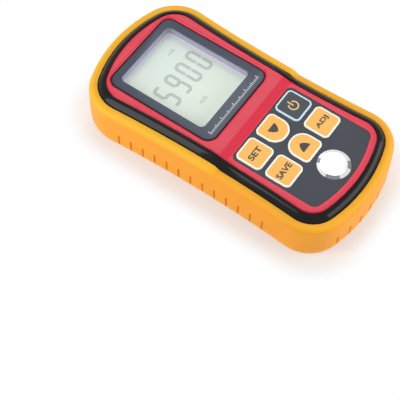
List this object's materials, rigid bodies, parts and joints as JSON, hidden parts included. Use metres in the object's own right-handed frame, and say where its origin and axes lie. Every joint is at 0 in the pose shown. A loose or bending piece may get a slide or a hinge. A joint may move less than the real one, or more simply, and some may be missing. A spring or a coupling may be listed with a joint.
{
  "type": "ultrasonic thickness gauge",
  "caption": "Flat hand-held gauge with a waisted face, large display, key block, steel test disc, soft outer boot and probe sockets at the display end.",
  "frame": {"origin": "on the resting plane, under the middle of the boot's outline", "axes": "+X across the face to the right, +Y towards the probe sockets, +Z out of the face"},
  "size_m": [0.077, 0.1492, 0.029],
  "materials": {
    "boot_orange": "soft matt moulding",
    "case_black": "glossy moulding",
    "plate_red": "satin moulding",
    "lens_clear": "clear window with a dark printed border",
    "frame_grey": "matt",
    "display_pale": "pale reflective display",
    "diffuser_white": "matt",
    "strip_pink": "matt",
    "board_green": "satin lacquer",
    "part_black": "matt",
    "overlay_dark": "fine matt sheet",
    "key_orange": "satin",
    "key_dark": "satin",
    "plunger_grey": "matt",
    "polished_steel": "polished",
    "rear_black": "fine grained moulding",
    "cell_jacket": "satin sleeve",
    "spring_steel": "nickel plated",
    "socket_metal": "nickel plated",
    "insulator_white": "matt",
    "screw_steel": "zinc plated"
  },
  "bodies": {
    "case": {"protective_boot": "boot_orange", "front_case": "case_black", "face_plate": "plate_red", "display_lens": "lens_clear", "display_frame": "frame_grey", "display_glass": "display_pale", "backlight_panel": "diffuser_white", "contact_strips": "strip_pink", "main_board": "board_green", "board_parts": "part_black", "switch_bodies": "part_black", "keypad_overlay": "overlay_dark", "test_block": "polished_steel", "rear_case": "rear_black", "battery_cells": "cell_jacket", "battery_springs": "spring_steel", "battery_contacts": "spring_steel", "probe_socket_left": "socket_metal", "probe_socket_right": "socket_metal", "socket_inserts": "insulator_white", "socket_nuts": "socket_metal", "case_screws": "screw_steel", "board_screws": "screw_steel"},
    "battery_door": {"battery_door": "rear_black"},
    "speed_key": {"key_speed": "key_orange", "plunger_speed": "plunger_grey"},
    "down_key": {"key_down": "key_orange", "plunger_down": "plunger_grey"},
    "power_key": {"key_power": "key_dark", "plunger_power": "plunger_grey"},
    "save_key": {"key_save": "key_orange", "plunger_save": "plunger_grey"},
    "up_key": {"key_up": "key_orange", "plunger_up": "plunger_grey"},
    "adjust_key": {"key_adjust": "key_orange", "plunger_adjust": "plunger_grey"}
  },
  "joints": [
    {"name": "battery_door_swing", "type": "hinge", "parent": "case", "child": "battery_door", "pos_m": [0, -0.0567, 0.0029], "axis": [-1, 0, 0], "range_deg": [0, 40]},
    {"name": "speed_key_press", "type": "slide", "parent": "case", "child": "speed_key", "axis": [0, 0, -1], "range_m": [0, 0.0004], "stiffness_N_per_m": 1500, "springref_m": -0.0004},
    {"name": "down_key_press", "type": "slide", "parent": "case", "child": "down_key", "axis": [0, 0, -1], "range_m": [0, 0.0004], "stiffness_N_per_m": 1500, "springref_m": -0.0004},
    {"name": "power_key_press", "type": "slide", "parent": "case", "child": "power_key", "axis": [0, 0, -1], "range_m": [0, 0.0004], "stiffness_N_per_m": 1500, "springref_m": -0.0004},
    {"name": "save_key_press", "type": "slide", "parent": "case", "child": "save_key", "axis": [0, 0, -1], "range_m": [0, 0.0004], "stiffness_N_per_m": 1500, "springref_m": -0.0004},
    {"name": "up_key_press", "type": "slide", "parent": "case", "child": "up_key", "axis": [0, 0, -1], "range_m": [0, 0.0004], "stiffness_N_per_m": 1500, "springref_m": -0.0004},
    {"name": "adjust_key_press", "type": "slide", "parent": "case", "child": "adjust_key", "axis": [0, 0, -1], "range_m": [0, 0.0004], "stiffness_N_per_m": 1500, "springref_m": -0.0004}
  ]
}
